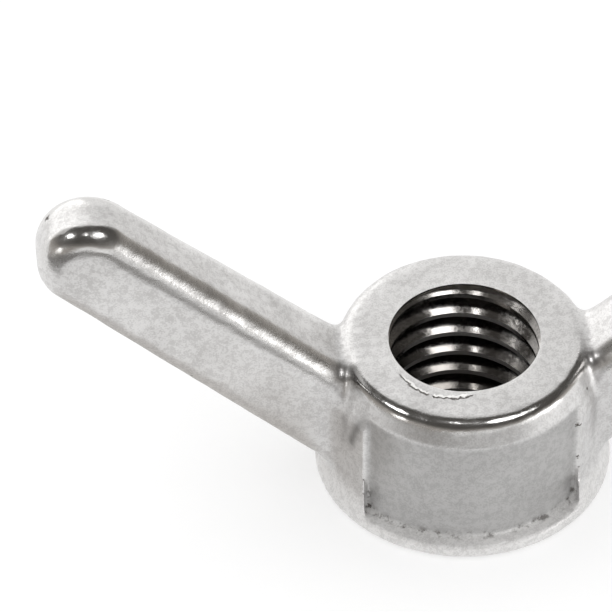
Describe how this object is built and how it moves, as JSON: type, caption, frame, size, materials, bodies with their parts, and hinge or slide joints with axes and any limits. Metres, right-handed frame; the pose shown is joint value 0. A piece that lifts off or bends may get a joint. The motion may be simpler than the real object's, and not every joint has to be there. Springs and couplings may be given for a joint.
{
  "type": "wing nut",
  "caption": "Cast stainless steel wing nut with a round flared hub, recessed flats and straight rounded wings rising on opposite sides.",
  "frame": {"origin": "centre of the flat bearing face, on the axis of the threaded hole", "axes": "+Z along the hole, from the bearing face up to the top of the hub; the wings spread along +X and -X; the recessed flats face +Y and -Y"},
  "size_m": [0.047, 0.0166, 0.0203],
  "materials": {
    "stainless": "fine blasted and tumbled cast stainless steel, satin, with polished edges"
  },
  "bodies": {
    "root": {"wing_nut": "stainless"}
  },
  "joints": []
}
